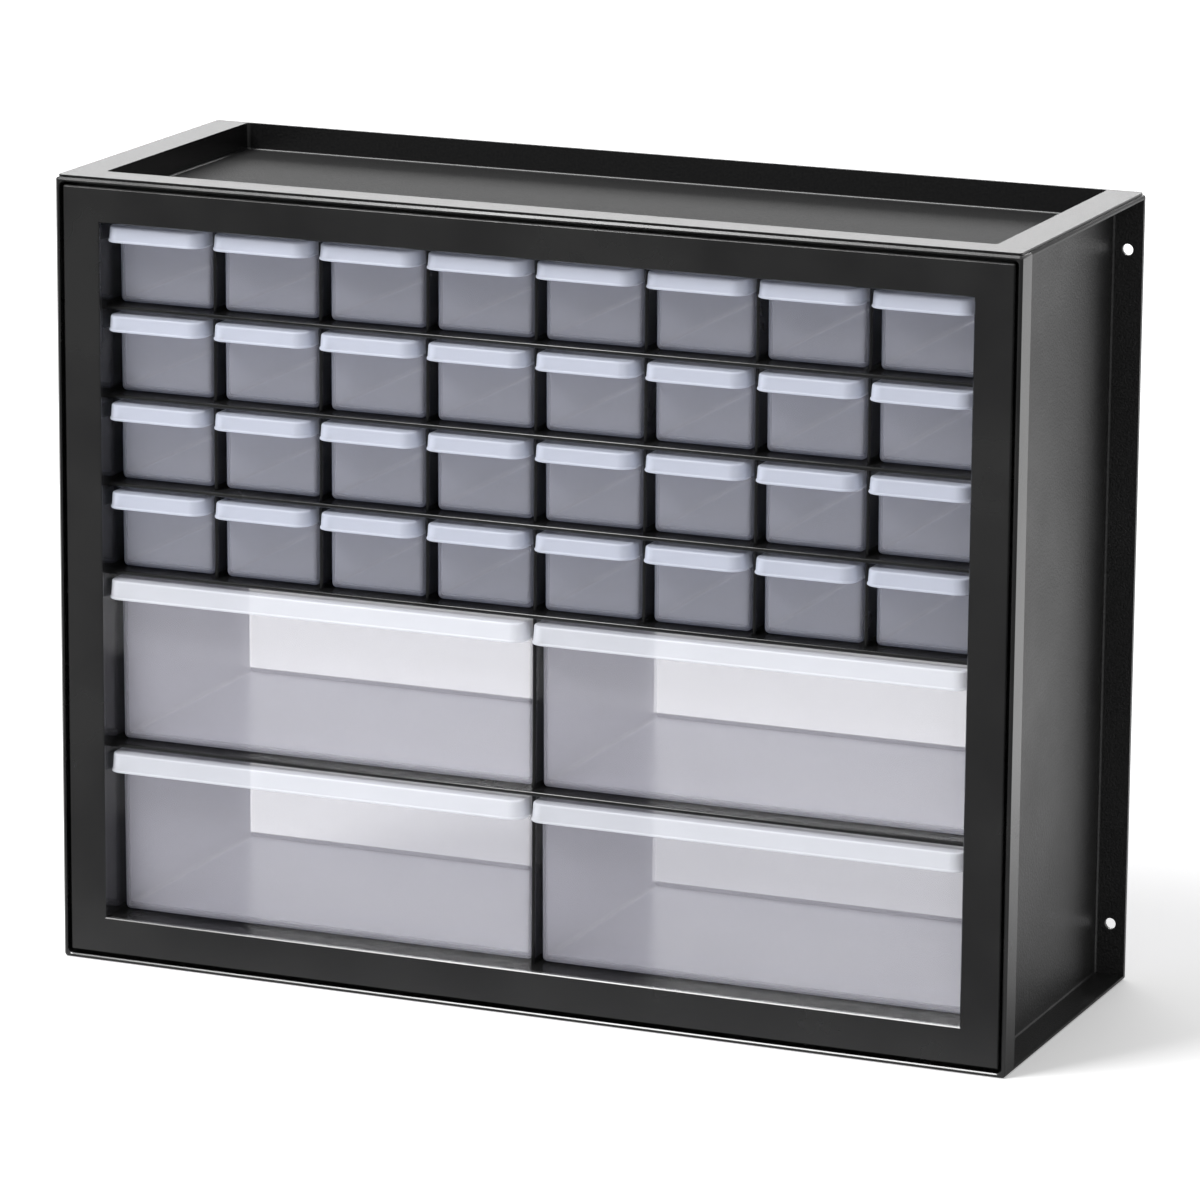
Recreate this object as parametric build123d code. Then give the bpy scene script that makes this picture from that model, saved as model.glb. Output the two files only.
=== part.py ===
from build123d import *
from math import cos, radians, sin, tan
import os

# Drawer storage cabinet for small parts, in millimetres.
# X runs to the right, Y to the back and Z up, and the origin is under the middle of the cabinet.

# Overall size and layout of the compartments
WIDTH = 495.3
DEPTH = 177.8
HEIGHT = 393.7
SMALL_COLUMNS = 8
SMALL_ROWS = 4
LARGE_COLUMNS = 2
LARGE_ROWS = 2
LARGE_CELL_HEIGHT = 85.5
FIT = 0.2  # gap between pieces that seat on each other

# Front frame, a rim with a flange behind it, and the bezel that sits inside the rim
RIM_WALL = 2.0
RIM_DEPTH = 13.5
RIM_OUTER_RADIUS = 1.6  # also along the outer edges of the side panels
RIM_INNER_RADIUS = 2.6
FRAME_FLANGE = 2.5
RIM_EDGE = 1.1  # bevel round the outside of the rim
EDGE_BREAK = 0.5
REVEAL = 1.7  # shadow gap between rim and bezel
BEZEL_SETBACK = 0.6
BEZEL_PLATE = 2.2
BEZEL_RETURN = 2.0
BEZEL_RADIUS = 1.0
BEZEL_EDGE = 0.8  # bevel round the outside of the bezel
BEZEL_SIDE = 23.15  # from the outer side of the cabinet to the opening
BEZEL_TOP = 22.25
BEZEL_BOTTOM = 22.25

# Side panels, shallow pans with screw holes in the rear flange
CHANNEL_DEPTH = 15.15
CHANNEL_FILLET = 1.2
WEB = 1.9
FLANGE = 2.2
SCREW_HOLE = 5.6
SCREW_FROM_SIDE = 7.65
SCREW_FROM_END = 28.25

# Top panel with its tray, base panel, and the ribs that steady the inner case
CAP = 1.0
CAP_SETBACK = 1.0
CAP_CORNER = 2.0
TRAY_WALL = 1.4
TRAY_DEPTH = 13.7
TRAY_FLOOR = 1.6
TRAY_FRONT_BAND = 18.0
TRAY_REAR_WALL = 2.0
TRAY_CORNER = 2.0
TRAY_FILLET = 1.2
BASE_PLATE = 2.3
BASE_WALL = 2.0
RIB = 1.6
RIB_COUNT = 3

# Inner case: walls, ceiling and floor, shelves and dividers that slot together
CASE_WALL = 2.0
CASE_REAR_GAP = 13.9  # from the back of the cabinet to the back of the case
SHELF = 2.2
SHELF_SETBACK = 8.9
SHELF_NOSE = 0.9
DIVIDER = 2.0
DIVIDER_SETBACK = 13.9
DIVIDER_NOSE = 0.7
GROOVE = 0.7  # depth of the grooves that hold shelf and divider ends
REAR_STOP_HEIGHT = 3.0
REAR_STOP = 1.6
NUB_HEIGHT = 1.1
NUB_DEPTH = 2.0
NUB_WIDTH = 12.0
NUB_SETBACK = 18.0  # from the front of a shelf to the nub under it

# Drawers: open tubs with a hooded pull along the front
DRAWER_SETBACK = 17.6
DRAWER_REAR_GAP = 0.9  # from the back of a closed drawer to the stop
DRAWER_REST = 0.3
DRAWER_HEADROOM = 1.8
DRAWER_CORNER = 3.0
CORNER_POINTS = 3  # few, because the corners repeat in every drawer
DRAWER_DRAFT = 0.4
DRAWER_BOTTOM_EDGE = 1.2
TAB_WIDTH = 16.0
TAB_CLEARANCE = 0.5
STOP_CLEARANCE = 0.4
LIP_SETBACK = 3.0
LIP_OVERHANG = 0.3  # the pull is wider than the tub on each side
LIP_CORNER = 7.0
LIP_FLARE = 4.0
LIP_EDGE = 0.5
LIP_WALL = 1.3
SMALL_PLAY = 2.1
SMALL_WALL = 1.4
SMALL_LIP_HEIGHT = 7.8
LARGE_PLAY = 1.3
LARGE_WALL = 1.8
LARGE_LIP_HEIGHT = 9.4

# Planes worked out from the sizes above
half = WIDTH / 2
front = -DEPTH / 2
back = DEPTH / 2
frame_top = HEIGHT - CAP - FIT
frame_back = front + RIM_DEPTH
shell_front = frame_back + FIT
web_out = half - CHANNEL_DEPTH
web_in = web_out - WEB
tray_out = web_in - FIT
tray_in = tray_out - TRAY_WALL
tray_floor = HEIGHT - TRAY_DEPTH
tray_under = tray_floor - TRAY_FLOOR
tray_front = front + TRAY_FRONT_BAND

open_half = half - BEZEL_SIDE
open_bottom = BEZEL_BOTTOM
open_top = HEIGHT - BEZEL_TOP
bezel_front = front + BEZEL_SETBACK
bezel_back = bezel_front + BEZEL_PLATE
bezel_seat = frame_back - FRAME_FLANGE - FIT

case_out = open_half + CASE_WALL
case_bottom = open_bottom - CASE_WALL
case_top = open_top + CASE_WALL
case_front = bezel_back + FIT
case_back = back - CASE_REAR_GAP
shelf_front = front + SHELF_SETBACK
divider_front = front + DIVIDER_SETBACK
lap = (shelf_front + case_back) / 2
stop_front = case_back - REAR_STOP
nub_front = shelf_front + NUB_SETBACK

drawer_front = front + DRAWER_SETBACK
drawer_back = stop_front - DRAWER_REAR_GAP
lip_front = front + LIP_SETBACK


def block(x, y, z):
    """A box between pairs of limits on each axis."""
    size = [limits[1] - limits[0] for limits in (x, y, z)]
    middle = [(limits[0] + limits[1]) / 2 for limits in (x, y, z)]
    return Pos(*middle) * Box(*size)


def across(limit):
    """Limits at equal distances from the middle plane."""
    return (-limit, limit)


def spread(first, last, count):
    """Places spaced evenly from the first to the last."""
    return [first + (last - first) * i / (count - 1) for i in range(count)]


def columns(count):
    """Width of one compartment, the middles of all and the middles of the dividers between."""
    width = (2 * open_half - (count - 1) * DIVIDER) / count
    middles = [-open_half + width / 2 + i * (width + DIVIDER) for i in range(count)]
    between = [x + (width + DIVIDER) / 2 for x in middles[:-1]]
    return width, middles, between


small_width, small_middles, small_between = columns(SMALL_COLUMNS)
large_width, large_middles, large_between = columns(LARGE_COLUMNS)
shelf_count = SMALL_ROWS + LARGE_ROWS - 1
large_stack = LARGE_ROWS * LARGE_CELL_HEIGHT
small_height = (open_top - open_bottom - large_stack - shelf_count * SHELF) / SMALL_ROWS

# Rows are counted from the top, so each list of cell floors runs downwards.
large_floors = [open_bottom + i * (LARGE_CELL_HEIGHT + SHELF) for i in range(LARGE_ROWS)][::-1]
small_base = open_bottom + LARGE_ROWS * (LARGE_CELL_HEIGHT + SHELF)
small_floors = [small_base + i * (small_height + SHELF) for i in range(SMALL_ROWS)][::-1]
rib_places = spread(frame_back + 2 * RIB, case_back - RIB / 2, RIB_COUNT)


def front_frame():
    """Rim round the front, with the flange that the bezel and the case seat in."""
    frame = block(across(half), (front, frame_back), (0, frame_top))
    frame = fillet(frame.edges().filter_by(Axis.Y), RIM_OUTER_RADIUS)
    frame = chamfer(frame.faces().sort_by(Axis.Y)[0].edges(), RIM_EDGE)
    pocket_depth = (front, frame_back - FRAME_FLANGE)
    pocket = block(across(half - RIM_WALL), pocket_depth, (RIM_WALL, frame_top - RIM_WALL))
    pocket = fillet(pocket.edges().filter_by(Axis.Y), RIM_INNER_RADIUS)
    opening = block(across(case_out + FIT), (front, frame_back), (case_bottom - FIT, case_top + FIT))
    frame = frame - pocket - opening
    inner_edge = frame.faces().sort_by(Axis.Y)[0].inner_wires()[0].edges()
    return chamfer(inner_edge, EDGE_BREAK)


def front_bezel():
    """Flat plate round the drawers, with a return edge that stands on the frame's flange."""
    outer_half = half - RIM_WALL - REVEAL
    outer_bottom = RIM_WALL + REVEAL
    outer_top = frame_top - RIM_WALL - REVEAL
    bezel = block(across(outer_half), (bezel_front, bezel_seat), (outer_bottom, outer_top))
    bezel = fillet(bezel.edges().filter_by(Axis.Y), BEZEL_RADIUS)
    bezel = chamfer(bezel.faces().sort_by(Axis.Y)[0].edges(), BEZEL_EDGE)
    inside = block(
        across(outer_half - BEZEL_RETURN),
        (bezel_back, bezel_seat),
        (outer_bottom + BEZEL_RETURN, outer_top - BEZEL_RETURN),
    )
    opening = block(across(open_half), (bezel_front, bezel_seat), (open_bottom, open_top))
    bezel = bezel - inside - opening
    inner_edge = bezel.faces().sort_by(Axis.Y)[0].inner_wires()[0].edges()
    return chamfer(inner_edge, EDGE_BREAK)


def side_panel():
    """Right-hand side: a pan open to the side, with ribs inwards and screw holes at the back."""
    length = (shell_front, back)
    panel = block((web_in, web_out), length, (0, frame_top))
    panel += block((web_in, half), length, (0, FLANGE))
    panel += block((web_in, half), length, (frame_top - FLANGE, frame_top))
    panel += block((web_in, half), (back - FLANGE, back), (0, frame_top))
    floor_of_pan = panel.faces().filter_by(Axis.X).sort_by(Axis.Z)
    floor_of_pan = [face for face in floor_of_pan if abs(face.center().X - web_out) < FIT][0]
    inner_edges = [edge for edge in floor_of_pan.edges() if edge.center().Y > shell_front + FIT]
    panel = fillet(inner_edges, CHANNEL_FILLET)
    long_edges = panel.edges().filter_by(Axis.Y).group_by(Axis.X)[-1].sort_by(Axis.Z)
    panel = fillet([long_edges[0], long_edges[-1]], RIM_OUTER_RADIUS)
    for y in rib_places:
        panel += block((case_out + FIT, web_in), (y - RIB / 2, y + RIB / 2), (open_bottom, open_top))
    for z in (SCREW_FROM_END, HEIGHT - SCREW_FROM_END):
        hole = Cylinder(SCREW_HOLE / 2, 4 * FLANGE, rotation=(90, 0, 0))
        panel -= Pos(half - SCREW_FROM_SIDE, back, z) * hole
    return panel


def top_panel():
    """Thin cap over the frame and sides, with a tray sunk into it and ribs down to the ceiling."""
    panel = block(across(half - CAP_SETBACK), (front + CAP_SETBACK, back), (HEIGHT - CAP, HEIGHT))
    panel = fillet(panel.edges().filter_by(Axis.Z), CAP_CORNER)
    panel += block(across(tray_out), (tray_front - TRAY_WALL, back), (tray_under, HEIGHT))
    basin = block(across(tray_in), (tray_front, back - TRAY_REAR_WALL), (tray_floor, HEIGHT))
    basin = fillet(basin.edges().filter_by(Axis.Z), TRAY_CORNER)
    basin = fillet(basin.faces().sort_by(Axis.Z)[0].edges(), TRAY_FILLET)
    panel -= basin
    for y in rib_places[1:]:
        panel += block(across(open_half), (y - RIB / 2, y + RIB / 2), (case_top + FIT, tray_under))
    return panel


def base_panel():
    """Flat bottom with upright walls and ribs that carry the floor of the case."""
    panel = block(across(tray_out), (shell_front, back), (0, case_bottom - FIT))
    inside_rear = back - BASE_WALL
    panel -= block(
        across(tray_out - BASE_WALL), (shell_front + BASE_WALL, inside_rear), (BASE_PLATE, case_bottom)
    )
    for y in rib_places:
        panel += block(across(tray_out), (y - RIB / 2, y + RIB / 2), (0, case_bottom - FIT))
    return panel


def case_wall():
    """Right-hand wall of the case, grooved for the ends of the shelves, ceiling and floor."""
    wall = block((open_half, case_out), (case_front, case_back), (case_bottom, case_top))
    for top in small_floors + large_floors[:-1]:
        groove_height = (top - SHELF - FIT, top + FIT)
        wall -= block((open_half, open_half + GROOVE), (shelf_front - FIT, case_back), groove_height)
    for limits in ((open_top - FIT, case_top), (case_bottom, open_bottom + FIT)):
        wall -= block((open_half, open_half + GROOVE), (case_front, case_back), limits)
    return wall


def plate(bottom, top, start):
    """Shelf, ceiling or floor, with tongues that reach into the grooves of the case walls."""
    return block(across(open_half + GROOVE - FIT), (start, case_back), (bottom, top))


def add_rear_stop(shelf, top):
    """Upturned lip at the back that a closed drawer stops against."""
    return shelf + block(across(open_half - FIT), (stop_front, case_back), (top, top + REAR_STOP_HEIGHT))


def add_nubs(shelf, underside, middles):
    """Nubs under the front that hold a drawer back at the end of its travel."""
    depth = (nub_front, nub_front + NUB_DEPTH)
    for x in middles:
        shelf += block((x - NUB_WIDTH / 2, x + NUB_WIDTH / 2), depth, (underside - NUB_HEIGHT, underside))
    return shelf


def cut_channels(shelf, places, limits, start):
    """Grooves or slots for dividers, from a place in the depth to the back."""
    for x in places:
        width = (x - DIVIDER / 2 - FIT, x + DIVIDER / 2 + FIT)
        shelf -= block(width, (start, case_back), limits)
    return shelf


def shelf(top, crossing, above, below, middles):
    """Shelf with a round nose, slots half its depth, and grooves for dividers that end at it."""
    bottom = top - SHELF
    board = plate(bottom, top, shelf_front)
    nose = board.faces().sort_by(Axis.Y)[0].edges().filter_by(Axis.X)
    board = add_rear_stop(fillet(nose, SHELF_NOSE), top)
    board = add_nubs(board, bottom, middles)
    board = cut_channels(board, crossing, (bottom, top + REAR_STOP_HEIGHT), lap)
    board = cut_channels(board, above, (top - GROOVE, top + REAR_STOP_HEIGHT), divider_front - FIT)
    return cut_channels(board, below, (bottom, bottom + GROOVE), divider_front - FIT)


def case_ceiling():
    """Ceiling over the top row, grooved for the small dividers."""
    board = add_nubs(plate(open_top, case_top, case_front), open_top, small_middles)
    return cut_channels(board, small_between, (open_top, open_top + GROOVE), divider_front - FIT)


def case_floor():
    """Floor under the bottom row, grooved for the large divider."""
    board = add_rear_stop(plate(case_bottom, open_bottom, case_front), open_bottom)
    limits = (open_bottom - GROOVE, open_bottom + REAR_STOP_HEIGHT)
    return cut_channels(board, large_between, limits, divider_front - FIT)


def divider(x, bottom, top, crossing):
    """Upright board between two plates, slotted from the front where shelves cross it."""
    width = (x - DIVIDER / 2, x + DIVIDER / 2)
    board = block(width, (divider_front, case_back), (bottom - GROOVE + FIT, top + GROOVE - FIT))
    nose = board.faces().sort_by(Axis.Y)[0].edges().filter_by(Axis.Z)
    board = chamfer(nose, DIVIDER_NOSE)
    for shelf_top in crossing:
        board -= block(width, (divider_front, lap + FIT), (shelf_top - SHELF - FIT, shelf_top + FIT))
    return board


def eased_ring(width, start, end, front_radius, rear_radius, height, inset=0.0):
    """Points of a level rectangle moved inwards, each of its round corners drawn with a few flats."""
    corners = (
        (1, -1, start, front_radius, 270),
        (1, 1, end, rear_radius, 0),
        (-1, 1, end, rear_radius, 90),
        (-1, -1, start, front_radius, 180),
    )
    points = []
    for side, way, y, radius, first_angle in corners:
        hub = radius if radius else inset
        count = CORNER_POINTS if radius else 1
        reach = (radius - inset) / cos(radians(45 / count)) if radius else 0
        for i in range(count):
            angle = radians(first_angle + 90 * (i + 0.5) / count)
            x = side * (width / 2 - hub) + reach * cos(angle)
            points.append((x, y - way * hub + reach * sin(angle), height))
    return points


def stacked(*rings):
    """Solid with flat faces through level rings, from the lowest ring to the highest."""
    outlines = [rings[0][::-1], rings[-1]]
    for lower, upper in zip(rings, rings[1:]):
        for i in range(len(lower)):
            outlines.append([lower[i - 1], lower[i], upper[i], upper[i - 1]])
    return Solid(Shell([Face(Wire.make_polygon(outline)) for outline in outlines]))


def drawer(cell_width, cell_height, play, wall, lip_height):
    """Drafted tub with a hooded pull and a rear tab, standing on a cell floor at zero height."""
    top = cell_height - DRAWER_HEADROOM
    width = cell_width - 2 * play
    draft = tan(radians(DRAWER_DRAFT))
    flare = tan(radians(LIP_FLARE))

    tub_plan = (width, drawer_front, drawer_back, DRAWER_CORNER, DRAWER_CORNER)
    shoulder = DRAWER_REST + DRAWER_BOTTOM_EDGE
    tub = stacked(
        eased_ring(*tub_plan, DRAWER_REST, (top - shoulder) * draft + DRAWER_BOTTOM_EDGE),
        eased_ring(*tub_plan, shoulder, (top - shoulder) * draft),
        eased_ring(*tub_plan, top),
    )
    inner_corner = DRAWER_CORNER - wall
    inner_plan = (width - 2 * wall, drawer_front + wall, drawer_back - wall, inner_corner, inner_corner)
    floor = DRAWER_REST + wall
    inside = stacked(eased_ring(*inner_plan, floor, (top - floor) * draft), eased_ring(*inner_plan, top))

    # The hood flares downwards and is open below, so that fingers reach behind it.
    lip_width = width + 2 * LIP_OVERHANG
    hood_plan = (lip_width, lip_front, drawer_front + wall, LIP_CORNER, 0)
    hood = stacked(
        eased_ring(*hood_plan, top - lip_height, -lip_height * flare),
        eased_ring(*hood_plan, top - LIP_EDGE, -LIP_EDGE * flare),
        eased_ring(*hood_plan, top, LIP_EDGE),
    )
    gap_plan = (lip_width - 2 * LIP_WALL, lip_front + LIP_WALL, drawer_front, LIP_CORNER - LIP_WALL, 0)
    gap_top = top - LIP_WALL
    finger_gap = stacked(
        eased_ring(*gap_plan, gap_top - lip_height, -lip_height * flare),
        eased_ring(*gap_plan, gap_top),
    )

    tab_height = (top - wall, cell_height - TAB_CLEARANCE)
    tab = block(across(TAB_WIDTH / 2), (drawer_back - wall, drawer_back), tab_height)
    return tub + (hood - finger_gap) + tab - inside


nodes = {
    "front_frame": front_frame(),
    "front_bezel": front_bezel(),
    "right_side_panel": side_panel(),
    "top_panel": top_panel(),
    "base_panel": base_panel(),
    "case_right_wall": case_wall(),
    "case_ceiling": case_ceiling(),
    "case_floor": case_floor(),
}
for piece in ("side_panel", "case_wall"):
    right = piece.replace("side", "right_side").replace("case", "case_right")
    nodes[right.replace("right", "left")] = mirror(nodes[right], about=Plane.YZ)

# Shelves from the top: between small rows, under the last small row, and between large rows
small_shelves = small_floors[:-1]
large_shelves = large_floors[:-1]
for number, level in enumerate(small_shelves + [small_base] + large_shelves, 1):
    if level in small_shelves:
        board = shelf(level, small_between, [], [], small_middles)
    elif level == small_base:
        board = shelf(level, [], small_between, large_between, large_middles)
    else:
        board = shelf(level, large_between, [], [], large_middles)
    nodes[f"shelf_{number}"] = board

for number, x in enumerate(small_between, 1):
    nodes[f"small_divider_{number}"] = divider(x, small_base, open_top, small_shelves)
for number, x in enumerate(large_between, 1):
    nodes[f"large_divider_{number}"] = divider(x, open_bottom, small_base - SHELF, large_shelves)

small_drawer = drawer(small_width, small_height, SMALL_PLAY, SMALL_WALL, SMALL_LIP_HEIGHT)
large_drawer = drawer(large_width, LARGE_CELL_HEIGHT, LARGE_PLAY, LARGE_WALL, LARGE_LIP_HEIGHT)
for row, level in enumerate(small_floors, 1):
    for column, x in enumerate(small_middles, 1):
        nodes[f"small_drawer_r{row}_c{column}"] = Pos(x, 0, level) * small_drawer
for row, level in enumerate(large_floors, 1):
    for column, x in enumerate(large_middles, 1):
        nodes[f"large_drawer_r{row}_c{column}"] = Pos(x, 0, level) * large_drawer

small_travel = drawer_back - SMALL_WALL - nub_front - NUB_DEPTH - STOP_CLEARANCE
large_travel = drawer_back - LARGE_WALL - nub_front - NUB_DEPTH - STOP_CLEARANCE
print(f"drawer travel: small {small_travel:.2f} mm, large {large_travel:.2f} mm")

os.makedirs("parts", exist_ok=True)
for name, solid in nodes.items():
    export_step(solid, f"parts/{name}.step")
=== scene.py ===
import bmesh
import bpy
import math
from mathutils import Matrix, Vector


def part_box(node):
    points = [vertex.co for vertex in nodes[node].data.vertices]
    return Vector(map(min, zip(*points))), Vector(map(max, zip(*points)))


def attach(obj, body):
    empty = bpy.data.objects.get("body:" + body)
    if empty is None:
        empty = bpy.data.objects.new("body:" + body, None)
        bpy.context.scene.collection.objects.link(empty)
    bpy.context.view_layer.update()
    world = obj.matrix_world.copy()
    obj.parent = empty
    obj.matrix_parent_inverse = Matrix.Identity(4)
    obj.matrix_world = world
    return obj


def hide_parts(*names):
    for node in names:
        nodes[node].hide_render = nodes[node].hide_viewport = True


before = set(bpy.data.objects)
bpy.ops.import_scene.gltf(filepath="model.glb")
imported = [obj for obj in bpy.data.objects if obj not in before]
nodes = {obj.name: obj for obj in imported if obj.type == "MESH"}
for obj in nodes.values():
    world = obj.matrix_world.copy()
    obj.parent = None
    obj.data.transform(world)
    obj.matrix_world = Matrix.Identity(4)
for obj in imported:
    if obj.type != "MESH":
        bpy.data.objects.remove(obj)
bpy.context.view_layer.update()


# Front frame and bezel: the rim round the cabinet's front, and a flat band set inside it with a shadow gap.
# Both are moulded in satin black plastic.
# They keep their CAD meshes, and a small bevel gives each edge the line of light that moulded edges show.
FRAME_EDGE = 0.00034
BEZEL_EDGE = 0.0005
EDGE_STEPS = 3
EDGE_ANGLE = math.radians(35)
WELD_GAP = 0.00001
CLOUD_SCALE = 18
GLOSS_SPREAD = 0.06
DEEP_BLACK = (0.004, 0.004, 0.0044)
PLASTIC_IOR = 1.5


def noise(tree, coords, scale, detail):
    """Noise that stays with the object, with its scale in waves per metre."""
    node = tree.nodes.new("ShaderNodeTexNoise")
    node.inputs["Scale"].default_value = scale
    node.inputs["Detail"].default_value = detail
    tree.links.new(coords.outputs["Object"], node.inputs["Vector"])
    return node.outputs["Fac"]


def ranged(tree, source, low, high, start=0.3, end=0.7):
    """Goes from low to high, a number or a socket, while the source goes from start to end."""
    node = tree.nodes.new("ShaderNodeMapRange")
    node.inputs["From Min"].default_value = start
    node.inputs["From Max"].default_value = end
    node.inputs["To Min"].default_value = low
    if isinstance(high, bpy.types.NodeSocket):
        tree.links.new(high, node.inputs["To Max"])
    else:
        node.inputs["To Max"].default_value = high
    tree.links.new(source, node.inputs["Value"])
    return node.outputs["Result"]


def two_tone(tree, source, dark, light):
    """Colour that changes softly from dark to light."""
    node = tree.nodes.new("ShaderNodeValToRGB")
    node.color_ramp.elements[0].position = 0.35
    node.color_ramp.elements[0].color = (*dark, 1)
    node.color_ramp.elements[1].position = 0.65
    node.color_ramp.elements[1].color = (*light, 1)
    tree.links.new(source, node.inputs["Fac"])
    return node.outputs["Color"]


def new_material(name):
    material = bpy.data.materials.new(name)
    material.use_nodes = True
    tree = material.node_tree
    return material, tree, tree.nodes["Principled BSDF"], tree.nodes.new("ShaderNodeTexCoord")


def grain_bump(tree, surface, grain, strength, depth):
    """Moulded grain on a surface."""
    bump = tree.nodes.new("ShaderNodeBump")
    bump.inputs["Strength"].default_value = strength
    bump.inputs["Distance"].default_value = depth
    tree.links.new(grain, bump.inputs["Height"])
    tree.links.new(bump.outputs["Normal"], surface.inputs["Normal"])


def black_plastic(name, roughness, specular, grain_size, grain_depth, grain_strength=0.35, speckle_tone=0.011):
    """Dyed plastic with cloudy colour, a little uneven gloss and a moulded grain."""
    material, tree, surface, coords = new_material(name)
    cloud = noise(tree, coords, CLOUD_SCALE, 4)
    grain = noise(tree, coords, 1 / grain_size, 3)
    speckle = grain if grain_strength > 0.5 else cloud
    colour = two_tone(tree, speckle, DEEP_BLACK, (speckle_tone, speckle_tone, speckle_tone))
    tree.links.new(colour, surface.inputs["Base Color"])
    gloss = ranged(tree, cloud, roughness - GLOSS_SPREAD, roughness + GLOSS_SPREAD)
    tree.links.new(gloss, surface.inputs["Roughness"])
    grain_bump(tree, surface, grain, grain_strength, grain_depth)
    surface.inputs["IOR"].default_value = PLASTIC_IOR
    surface.inputs["Specular IOR Level"].default_value = specular
    return material


def dress(name, material, edge):
    """Gives a CAD node a material and soft edges."""
    piece = nodes[name]
    piece.data.materials.clear()
    piece.data.materials.append(material)
    weld = piece.modifiers.new("weld", "WELD")
    weld.merge_threshold = WELD_GAP
    bevel = piece.modifiers.new("edge", "BEVEL")
    bevel.width = edge
    bevel.segments = EDGE_STEPS
    bevel.limit_method = "ANGLE"
    bevel.angle_limit = EDGE_ANGLE
    bevel.harden_normals = True


satin_black = black_plastic(
    "satin_black_plastic", roughness=0.24, specular=0.8, grain_size=0.0012, grain_depth=0.00003
)
satin_surface = satin_black.node_tree.nodes["Principled BSDF"]
satin_surface.inputs["Coat Weight"].default_value = 0.5
satin_surface.inputs["Coat Roughness"].default_value = 0.16
dress("front_frame", satin_black, FRAME_EDGE)
dress("front_bezel", satin_black, BEZEL_EDGE)


# Side panels and base: shallow pans that close the cabinet left, right and below, with screw holes at the back.
# They are moulded in the same black plastic with a fine grain that dulls it.
# They keep their CAD meshes, which hold the channels and the holes.
PANEL_EDGE = 0.0004
PANEL_GRAIN = 0.0011
PANEL_GRAIN_STRENGTH = 0.9
grained_black = black_plastic(
    "grained_black_plastic", roughness=0.38, specular=1.0, grain_size=PANEL_GRAIN, grain_depth=0.0003,
    grain_strength=PANEL_GRAIN_STRENGTH, speckle_tone=0.016,
)
for name in ("left_side_panel", "right_side_panel", "base_panel"):
    dress(name, grained_black, PANEL_EDGE)


# Top panel: a thin cap over frame and sides, with a tray sunk into it. The same grained plastic and CAD mesh.
# The tray's floor is matt and coarse, the bands round it are smoother, and walls and fillets are plain and glossy.
TRAY_ROUGHNESS = 0.72
BAND_ROUGHNESS = 0.40
FILLET_ROUGHNESS = 0.26
TRAY_GRAIN, BAND_GRAIN, FILLET_GRAIN = 1.0, 0.25, 0.05
TRAY_BELOW, BAND_BELOW = 0.012, 0.002
LEVEL_START, LEVEL_END = 0.9, 0.99


def parts_of(tree, source):
    """X, Y and Z of a vector."""
    node = tree.nodes.new("ShaderNodeSeparateXYZ")
    tree.links.new(source, node.inputs["Vector"])
    return node.outputs


tray_black = black_plastic(
    "tray_black_plastic", roughness=BAND_ROUGHNESS, specular=0.5, grain_size=PANEL_GRAIN, grain_depth=0.0006,
    grain_strength=PANEL_GRAIN_STRENGTH,
)
tray_tree = tray_black.node_tree
tray_coords = tray_tree.nodes["Texture Coordinate"].outputs
top_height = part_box("top_panel")[1].z
height = parts_of(tray_tree, tray_coords["Object"])["Z"]
upward = parts_of(tray_tree, tray_coords["Normal"])["Z"]


def over_top(in_tray, on_band, elsewhere):
    """Value that differs between the tray's floor, the bands round it, and walls and fillets."""
    on_level = ranged(tray_tree, height, in_tray, on_band, top_height - TRAY_BELOW, top_height - BAND_BELOW)
    return ranged(tray_tree, upward, elsewhere, on_level, LEVEL_START, LEVEL_END)


tray_tree.links.new(
    over_top(TRAY_ROUGHNESS, BAND_ROUGHNESS, FILLET_ROUGHNESS),
    tray_tree.nodes["Principled BSDF"].inputs["Roughness"],
)
tray_tree.links.new(over_top(TRAY_GRAIN, BAND_GRAIN, FILLET_GRAIN), tray_tree.nodes["Bump"].inputs["Strength"])
dress("top_panel", tray_black, PANEL_EDGE)


# Inner case: walls, ceiling and floor, with shelves and dividers that slot together with half laps.
# Smoother black plastic, polished at the shelf noses, which catch light, and duller on its level faces.
CASE_EDGE = 0.0002
CASE_IOR = 1.2
NOSE_POLISH = 1.0
smooth_black = black_plastic(
    "smooth_black_plastic", roughness=0.22, specular=0.5, grain_size=0.0030, grain_depth=0.00002
)
case_tree = smooth_black.node_tree
case_surface = case_tree.nodes["Principled BSDF"]
case_surface.inputs["IOR"].default_value = CASE_IOR
case_surface.inputs["Coat Roughness"].default_value = 0.12
upward = parts_of(case_tree, case_tree.nodes["Texture Coordinate"].outputs["Normal"])["Z"]
polish = ranged(case_tree, upward, NOSE_POLISH, 0.0, LEVEL_START, LEVEL_END)
case_tree.links.new(polish, case_surface.inputs["Coat Weight"])
for name in nodes:
    if name.startswith(("case_", "shelf_", "small_divider", "large_divider")):
        dress(name, smooth_black, CASE_EDGE)


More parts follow.
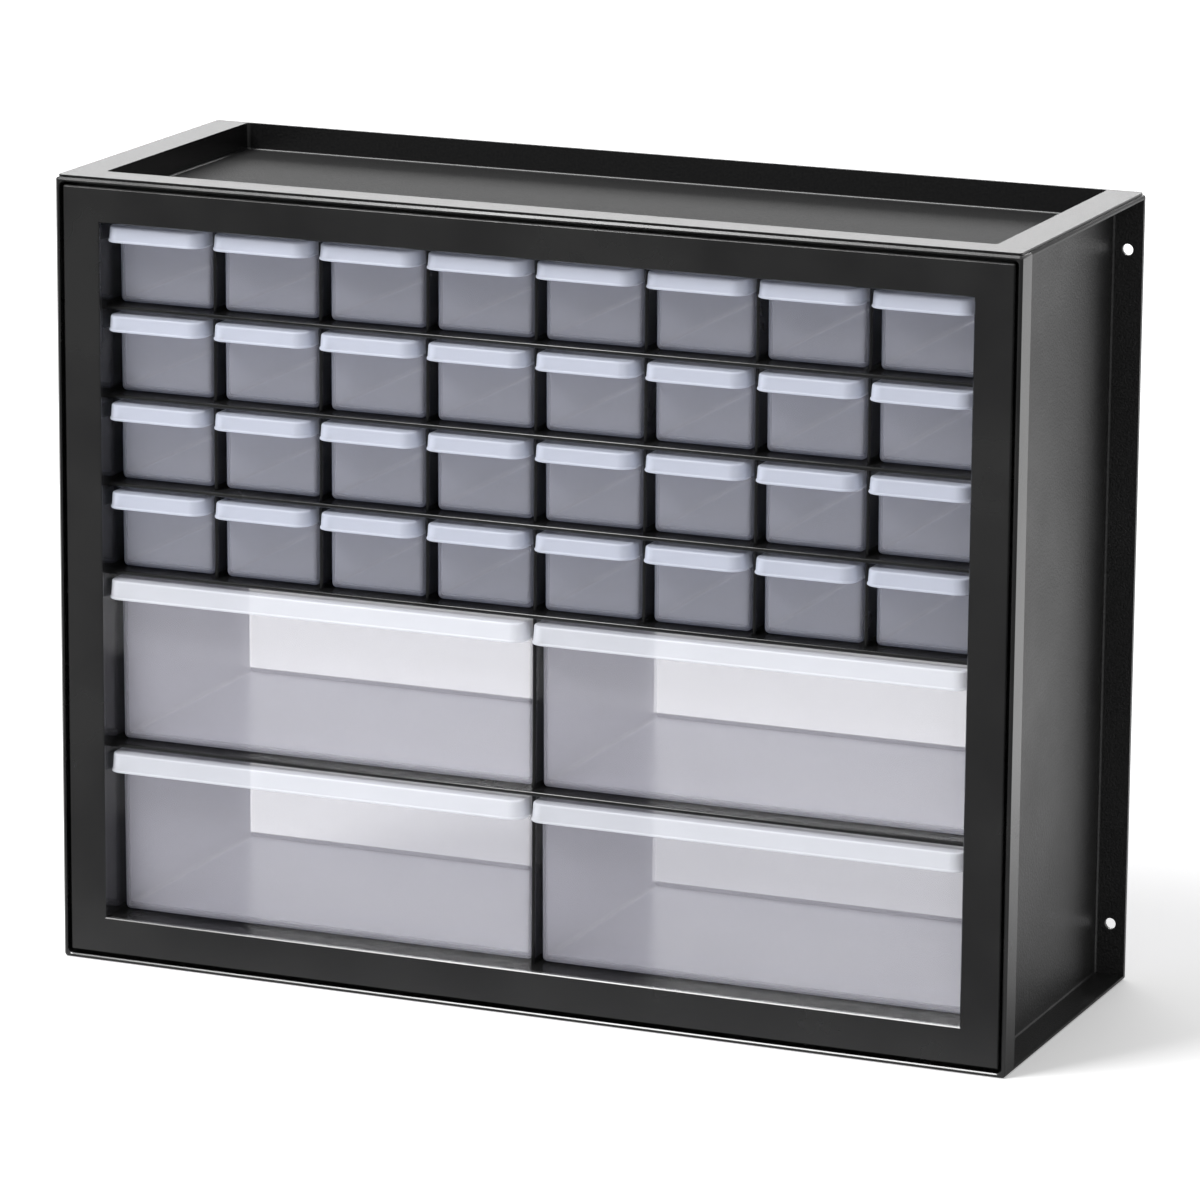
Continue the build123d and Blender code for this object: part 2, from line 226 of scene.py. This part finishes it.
# Drawers: translucent milky tubs with a hooded pull, moulded in one piece with thin walls.
# One mesh is lofted for each size and shared by all drawers of that size, in place of the plain CAD tubs.
# Each slides on its shelf and has a tab at the back that stops it.
MILKY_IOR = 1.49
CORNER_STEPS = 8
ROUND_STEPS = 4
TUB_CORNER = 0.003
TUB_BOTTOM_ROUND = 0.0024
TUB_DRAFT = math.tan(math.radians(0.4))
RIM_ROUND = 0.0004
LEAST_TUB_CORNER = 0.0004
TAB_RISE = 0.0013
TAB_WIDTH = 0.016
TAB_CORNER = 0.0004
TAB_SETBACK = 0.0001
LIP_CORNER = 0.007
LEAST_LIP_CORNER = 0.001
LIP_BACK_CORNER = 0.0002
LIP_BACK_STEP = 0.0004
LIP_WALL = 0.0013
LIP_TOP_ROUND = 0.0011
LIP_FLARE = math.tan(math.radians(4))
LIP_REACH = 0.0146
LIP_OVERHANG = 0.0003
LIP_BEAD = 0.0004
LIP_OVERLAP = 0.7
SHARP_ANGLE = math.radians(50)


def milky_plastic(name, tone, density, edge_density, edge_tint_and_highlight, level_share):
    """Cloudy see-through plastic that looks denser, with another tint, where the surface turns away; where that tint
    is lighter than the tone, it is a painted highlight along the edges.
    """
    material, tree, surface, coords = new_material(name)
    cloud = noise(tree, coords, 30, 4)
    tree.links.new(ranged(tree, cloud, 0.20, 0.24), surface.inputs["Roughness"])
    grain_bump(tree, surface, noise(tree, coords, 700, 2), 0.02, 0.00003)
    facing = tree.nodes.new("ShaderNodeLayerWeight")
    facing.inputs["Blend"].default_value = 0.1
    turned = ranged(tree, facing.outputs["Facing"], 0, 1, 0, 0.55)
    # Where the surface turns away the colour moves to the edge tint: a bluer tint of plastic seen edge-on, and, on the
    # pulls where it is lighter, a painted highlight.
    tint = tree.nodes.new("ShaderNodeMixRGB")
    tint.inputs["Color2"].default_value = (*edge_tint_and_highlight, 1)
    tree.links.new(turned, tint.inputs["Fac"])
    tree.links.new(two_tone(tree, cloud, tone, [1.03 * c for c in tone]), tint.inputs["Color1"])
    tree.links.new(tint.outputs["Color"], surface.inputs["Base Color"])
    upward = parts_of(tree, coords.outputs["Normal"])["Z"]
    opacity = tree.nodes.new("ShaderNodeMath")
    opacity.operation = "MULTIPLY"
    tree.links.new(ranged(tree, turned, density, edge_density, 0, 1), opacity.inputs[0])
    tree.links.new(ranged(tree, upward, 1.0, level_share, 0.8, 0.98), opacity.inputs[1])
    tree.links.new(opacity.outputs["Value"], surface.inputs["Alpha"])
    surface.inputs["IOR"].default_value = MILKY_IOR
    return material


def outline(half_width, front, back, front_radius, back_radius, height):
    """Points round a rectangle with round corners, at one height."""
    corners = (
        (half_width, front, -1, 1, front_radius, -90),
        (half_width, back, 1, 1, back_radius, 0),
        (-half_width, back, 1, -1, back_radius, 90),
        (-half_width, front, -1, -1, front_radius, 180),
    )
    points = []
    for x, y, y_side, x_side, radius, start in corners:
        centre_x, centre_y = x - x_side * radius, y - y_side * radius
        for step in range(CORNER_STEPS + 1):
            angle = math.radians(start + 90 * step / CORNER_STEPS)
            points.append((centre_x + radius * math.cos(angle), centre_y + radius * math.sin(angle), height))
    return points


def loft(rings, material_index):
    """Closed mesh through rings of equal count, capped at both ends."""
    mesh = bmesh.new()
    made = [[mesh.verts.new(point) for point in ring] for ring in rings]
    for lower, upper in zip(made, made[1:]):
        for i in range(len(lower)):
            j = (i + 1) % len(lower)
            mesh.faces.new((lower[i], lower[j], upper[j], upper[i]))
    mesh.faces.new(made[0][::-1])
    mesh.faces.new(made[-1])
    for face in mesh.faces:
        face.material_index = material_index
        face.smooth = True
    bmesh.ops.recalc_face_normals(mesh, faces=mesh.faces)
    return mesh


def quarter(radius, start):
    """Pairs of offsets along a quarter circle, from its start angle in degrees."""
    angles = [math.radians(start + 90 * i / ROUND_STEPS) for i in range(ROUND_STEPS + 1)]
    return [(radius * math.cos(a), radius * math.sin(a)) for a in angles]


def tub_rings(half_width, front, back, low, high, wall):
    """Outer side from below, over the rim, and down the inner side to the floor."""
    profile = []
    for across, up in quarter(TUB_BOTTOM_ROUND, 270):
        profile.append((TUB_BOTTOM_ROUND - across, low + TUB_BOTTOM_ROUND + up))
    for across, up in quarter(RIM_ROUND, 0):
        profile.append((RIM_ROUND - across, high - RIM_ROUND + up))
    for across, up in quarter(RIM_ROUND, 90):
        profile.append((wall - RIM_ROUND - across, high - RIM_ROUND + up))
    for across, up in quarter(TUB_BOTTOM_ROUND, 180):
        profile.append((wall + TUB_BOTTOM_ROUND + across, low + wall + TUB_BOTTOM_ROUND + up))
    rings = []
    for inset, height in profile:
        inset += (high - height) * TUB_DRAFT
        radius = max(TUB_CORNER - inset, LEAST_TUB_CORNER)
        rings.append(outline(half_width - inset, front + inset, back - inset, radius, radius, height))
    return rings


def hood_rings(half_width, front, back, low, high):
    """Inner side of the skirt from the underside of the top, down to the beaded edge, and up the outer side."""
    profile = [(LIP_WALL, high - LIP_WALL), (LIP_WALL, low + RIM_ROUND)]
    profile += [(RIM_ROUND - across, low + RIM_ROUND + up) for across, up in quarter(RIM_ROUND, 270)]
    profile += [(0, low + 2 * RIM_ROUND), (LIP_BEAD / 3, low + 2.7 * RIM_ROUND), (LIP_BEAD, low + 3.3 * RIM_ROUND)]
    for across, up in quarter(LIP_TOP_ROUND, 0):
        profile.append((LIP_BEAD + LIP_TOP_ROUND - across, high - LIP_TOP_ROUND + up))
    rings = []
    for inset, height in profile:
        inset -= (high - height) * LIP_FLARE
        radius = max(LIP_CORNER - inset, LEAST_LIP_CORNER)
        rear = back - (LIP_BACK_STEP if height < high - LIP_TOP_ROUND and inset > 0 else 0)
        rings.append(outline(half_width - inset, front + inset, rear, radius, LIP_BACK_CORNER, height))
    return rings


def to_object(mesh, name, materials):
    """Scene object from a built mesh."""
    data = bpy.data.meshes.new(name)
    mesh.to_mesh(data)
    mesh.free()
    for material in materials:
        data.materials.append(material)
    piece = bpy.data.objects.new(name, data)
    bpy.context.scene.collection.objects.link(piece)
    return piece


def joined(base, *others):
    """One mesh from pieces that run into each other, with flat walls shaded flat."""
    for other in others:
        union = base.modifiers.new("join", "BOOLEAN")
        union.operation = "UNION"
        union.solver = "EXACT"
        union.object = other
    graph = bpy.context.evaluated_depsgraph_get()
    base.data = bpy.data.meshes.new_from_object(base.evaluated_get(graph))
    base.data.set_sharp_from_angle(angle=SHARP_ANGLE)
    base.modifiers.clear()
    shading = base.modifiers.new("shading", "WEIGHTED_NORMAL")
    shading.weight = 90
    shading.keep_sharp = True
    graph.update()
    data = bpy.data.meshes.new_from_object(base.evaluated_get(graph))
    for piece in (base, *others):
        bpy.data.objects.remove(piece)
    return data


def drawer_mesh(node, wall, lip_height, materials):
    """Tub, hood and rear tab for a CAD drawer, about the middle of its underside."""
    low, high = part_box(node)
    lip_half = (high.x - low.x) / 2 - lip_height * LIP_FLARE
    half_width = lip_half - LIP_OVERHANG
    back = high.y
    top = high.z - low.z - TAB_RISE
    lip_front = low.y + lip_height * LIP_FLARE
    front = lip_front + LIP_REACH
    tub = to_object(loft(tub_rings(half_width, front, back, 0, top, wall), 0), "tub", materials)
    hood = hood_rings(lip_half, lip_front, front + LIP_OVERLAP * wall, top - lip_height, top)
    hood = to_object(loft(hood, 1), "hood", materials)
    tab = [
        outline(TAB_WIDTH / 2, back - wall, back - TAB_SETBACK, TAB_CORNER, TAB_CORNER, z)
        for z in (top - wall, top + TAB_RISE)
    ]
    tab = to_object(loft(tab, 0), "tab", materials)
    return joined(tub, hood, tab)


# The pulls' edge tints here and below are lighter than their tones: partly denser plastic seen edge-on, partly a
# painted highlight along their edges.
small_plastic = [
    milky_plastic(
        "milky_plastic", tone=(0.78, 0.79, 0.90), density=0.24,
        edge_density=0.90, edge_tint_and_highlight=(0.32, 0.38, 0.62), level_share=1.4,
    ),
    milky_plastic(
        "milky_plastic_pull", tone=(0.76, 0.80, 0.92), density=0.42,
        edge_density=0.90, edge_tint_and_highlight=(0.84, 0.88, 0.98), level_share=0.7,
    ),
]
large_plastic = [
    milky_plastic(
        "thick_milky_plastic", tone=(0.84, 0.83, 0.92), density=0.22,
        edge_density=0.96, edge_tint_and_highlight=(0.62, 0.63, 0.80), level_share=1.2,
    ),
    milky_plastic(
        "thick_milky_plastic_pull", tone=(0.86, 0.88, 0.94), density=0.46,
        edge_density=0.95, edge_tint_and_highlight=(0.90, 0.92, 0.98), level_share=0.7,
    ),
]
drawer_kinds = {
    "small_drawer": drawer_mesh("small_drawer_r1_c1", wall=0.0014, lip_height=0.0078, materials=small_plastic),
    "large_drawer": drawer_mesh("large_drawer_r1_c1", wall=0.0018, lip_height=0.0094, materials=large_plastic),
}
for kind, data in drawer_kinds.items():
    for name in [node for node in nodes if node.startswith(kind)]:
        low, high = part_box(name)
        piece = bpy.data.objects.new("visual_" + name, data)
        piece.location = ((low.x + high.x) / 2, 0, low.z)
        bpy.context.scene.collection.objects.link(piece)
        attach(piece, name)
        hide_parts(name)


# Stage: a plain pale floor that the camera sees as white, and soft studio light.
# In reflections only, the floor's colour is painted dark in front of the cabinet and pale behind it, a painted shade
# on what the black plastic mirrors.
# A wide light behind is mirrored by the top, and a smaller one high at the front left draws the edge lines.
FLOOR_GLOW = 0.3
FLOOR_DROP = 0.0002
MIRROR_SHADE_FRONT, MIRROR_SHADE_BACK = 0.2, 1.0
FRONT_Y, BACK_Y = -0.2, 0.2
WORLD_STRENGTH = 0.48

floor_mesh = bmesh.new()
bmesh.ops.create_grid(floor_mesh, x_segments=1, y_segments=1, size=30)
floor_material, floor_tree, floor_surface, floor_coords = new_material("pale_floor")
mottle = noise(floor_tree, floor_coords, 3, 3)
rays = floor_tree.nodes.new("ShaderNodeLightPath").outputs
along = parts_of(floor_tree, floor_coords.outputs["Object"])["Y"]
# Painted shade in reflections: glossy rays see the floor darker in front of the cabinet than behind it.
shade = floor_tree.nodes.new("ShaderNodeMixRGB")
floor_tree.links.new(rays["Is Glossy Ray"], shade.inputs["Fac"])
floor_tree.links.new(two_tone(floor_tree, mottle, (0.93, 0.93, 0.93), (0.95, 0.95, 0.95)), shade.inputs["Color1"])
floor_tree.links.new(ranged(floor_tree, along, MIRROR_SHADE_FRONT, MIRROR_SHADE_BACK, FRONT_Y, BACK_Y), shade.inputs["Color2"])
floor_tree.links.new(shade.outputs["Color"], floor_surface.inputs["Base Color"])
glow = ranged(floor_tree, rays["Is Camera Ray"], 0, FLOOR_GLOW, 0, 1)
floor_tree.links.new(glow, floor_surface.inputs["Emission Strength"])
floor_surface.inputs["Emission Color"].default_value = (1, 1, 1, 1)
floor_surface.inputs["Roughness"].default_value = 0.9
floor_surface.inputs["Specular IOR Level"].default_value = 0.0
floor = to_object(floor_mesh, "floor", [floor_material])
floor.location.z = -FLOOR_DROP

world = bpy.data.worlds.new("studio")
world.use_nodes = True
world.node_tree.nodes["Background"].inputs["Color"].default_value = (1, 1, 1, 1)
world.node_tree.nodes["Background"].inputs["Strength"].default_value = WORLD_STRENGTH
bpy.context.scene.world = world
bpy.context.scene.view_settings.view_transform = "Standard"


def soft_light(name, place, target, size, power):
    """Rectangular lamp at a place, turned to a target."""
    lamp = bpy.data.lights.new(name, "AREA")
    lamp.shape = "RECTANGLE"
    lamp.size, lamp.size_y = size
    lamp.energy = power
    holder = bpy.data.objects.new(name, lamp)
    holder.location = place
    holder.rotation_mode = "QUATERNION"
    holder.rotation_quaternion = (Vector(target) - Vector(place)).to_track_quat("-Z", "Y")
    bpy.context.scene.collection.objects.link(holder)


soft_light("back_light", place=(-1.2, 3.0, 1.58), target=(0, 0, 0.35), size=(3.0, 0.95), power=50)
soft_light("key_light", place=(-0.83, -1.08, 2.1), target=(0, -0.09, 0.25), size=(0.9, 1.2), power=48)


# Camera: where the photograph was taken from, fitted to the cabinet's edges.
# Its roll is the small tilt that the photograph has.
FOCAL_SHARE = 6706.53 / 1200
SENSOR = 36
AZIMUTH = math.radians(22.7436)
ELEVATION = math.radians(13.5447)
ROLL = math.radians(0.4226)
CAMERA_PLACE = (1.2345, -2.93851, 0.95502)
camera = bpy.data.objects.new("camera", bpy.data.cameras.new("camera"))
camera.data.sensor_width = SENSOR
camera.data.lens = SENSOR * FOCAL_SHARE
level = math.cos(ELEVATION)
back = Vector((math.sin(AZIMUTH) * level, -math.cos(AZIMUTH) * level, math.sin(ELEVATION)))
right = Vector((math.cos(AZIMUTH), math.sin(AZIMUTH), 0))
up = back.cross(right)
turned_right = math.cos(ROLL) * right + math.sin(ROLL) * up
turned_up = math.cos(ROLL) * up - math.sin(ROLL) * right
camera_axes = Matrix((turned_right, turned_up, back)).transposed().to_4x4()
camera.matrix_world = Matrix.Translation(CAMERA_PLACE) @ camera_axes
bpy.context.scene.collection.objects.link(camera)
bpy.context.scene.camera = camera
